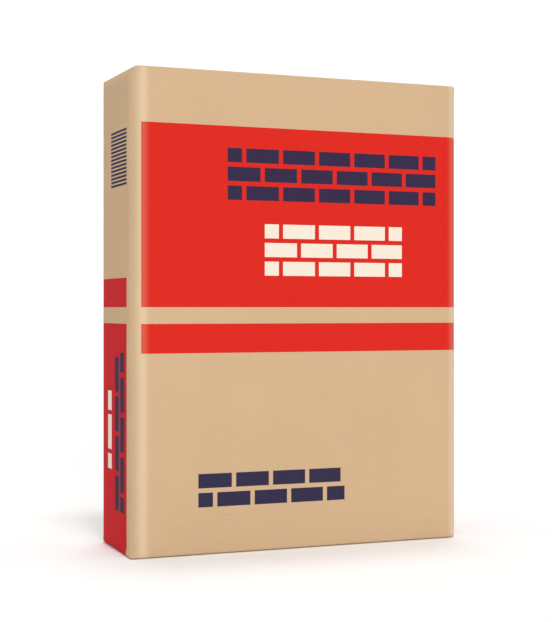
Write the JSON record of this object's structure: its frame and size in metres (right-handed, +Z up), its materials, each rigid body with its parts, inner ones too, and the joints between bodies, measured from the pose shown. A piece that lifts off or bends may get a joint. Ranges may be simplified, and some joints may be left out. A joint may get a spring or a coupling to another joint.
{
  "type": "cement bag",
  "caption": "Filled kraft paper valve sack of cement with flat block ends, standing upright on one end as a building material.",
  "frame": {"origin": "middle of the sack's footprint, at the level of the floor that it stands on", "axes": "+Z up along the sack's length; the large front panel faces -Y; +X to the right seen from the front, where the filling valve is"},
  "size_m": [0.4, 0.132, 0.53],
  "materials": {
    "kraft_paper": "matte machine-finished kraft paper, printed with plain matte red areas",
    "cover_paper": "matte unprinted kraft paper",
    "sleeve_paper": "matte unprinted kraft paper",
    "cement_powder": "dull fine grey powder"
  },
  "bodies": {
    "root": {"paper_sack": "kraft_paper", "top_cover_sheet": "cover_paper", "bottom_cover_sheet": "cover_paper", "valve_sleeve": "sleeve_paper", "cement_fill": "cement_powder"}
  },
  "joints": []
}
